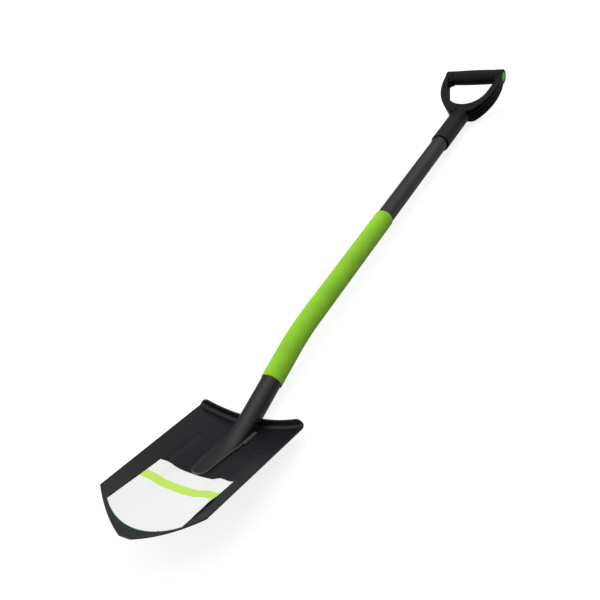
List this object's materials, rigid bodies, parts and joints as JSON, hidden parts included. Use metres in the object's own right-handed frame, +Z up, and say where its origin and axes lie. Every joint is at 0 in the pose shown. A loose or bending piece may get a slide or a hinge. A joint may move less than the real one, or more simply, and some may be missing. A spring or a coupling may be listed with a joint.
{
  "type": "pointed spade",
  "caption": "Pointed digging spade with a dished steel blade, folded treads, bent tubular steel shaft with a soft sleeve, and a moulded D-shaped hand grip.",
  "frame": {"origin": "on the floor, under the middle of the spade's box as it lies face up", "axes": "+Y from the blade's point towards the grip, +Z up, +X across the blade to its right as seen from the point with the face up"},
  "size_m": [0.186, 1.2772, 0.0861],
  "materials": {
    "powder_coat": "satin charcoal powder coat",
    "green_sleeve": "satin lime green",
    "black_plastic": "moulded, satin",
    "green_plastic": "moulded, satin",
    "plain_steel": "zinc plated",
    "sticker_film": "white film with a plain green stripe"
  },
  "bodies": {
    "root": {"blade": "powder_coat", "shaft_tube": "powder_coat", "tongue_weld": "powder_coat", "side_weld_left": "powder_coat", "side_weld_right": "powder_coat", "tread_weld_left": "powder_coat", "tread_weld_right": "powder_coat", "shaft_sleeve": "green_sleeve", "grip_yoke": "black_plastic", "grip_roll": "black_plastic", "end_plug_left": "green_plastic", "end_plug_right": "green_plastic", "grip_screw": "plain_steel", "blade_label": "sticker_film"}
  },
  "joints": []
}
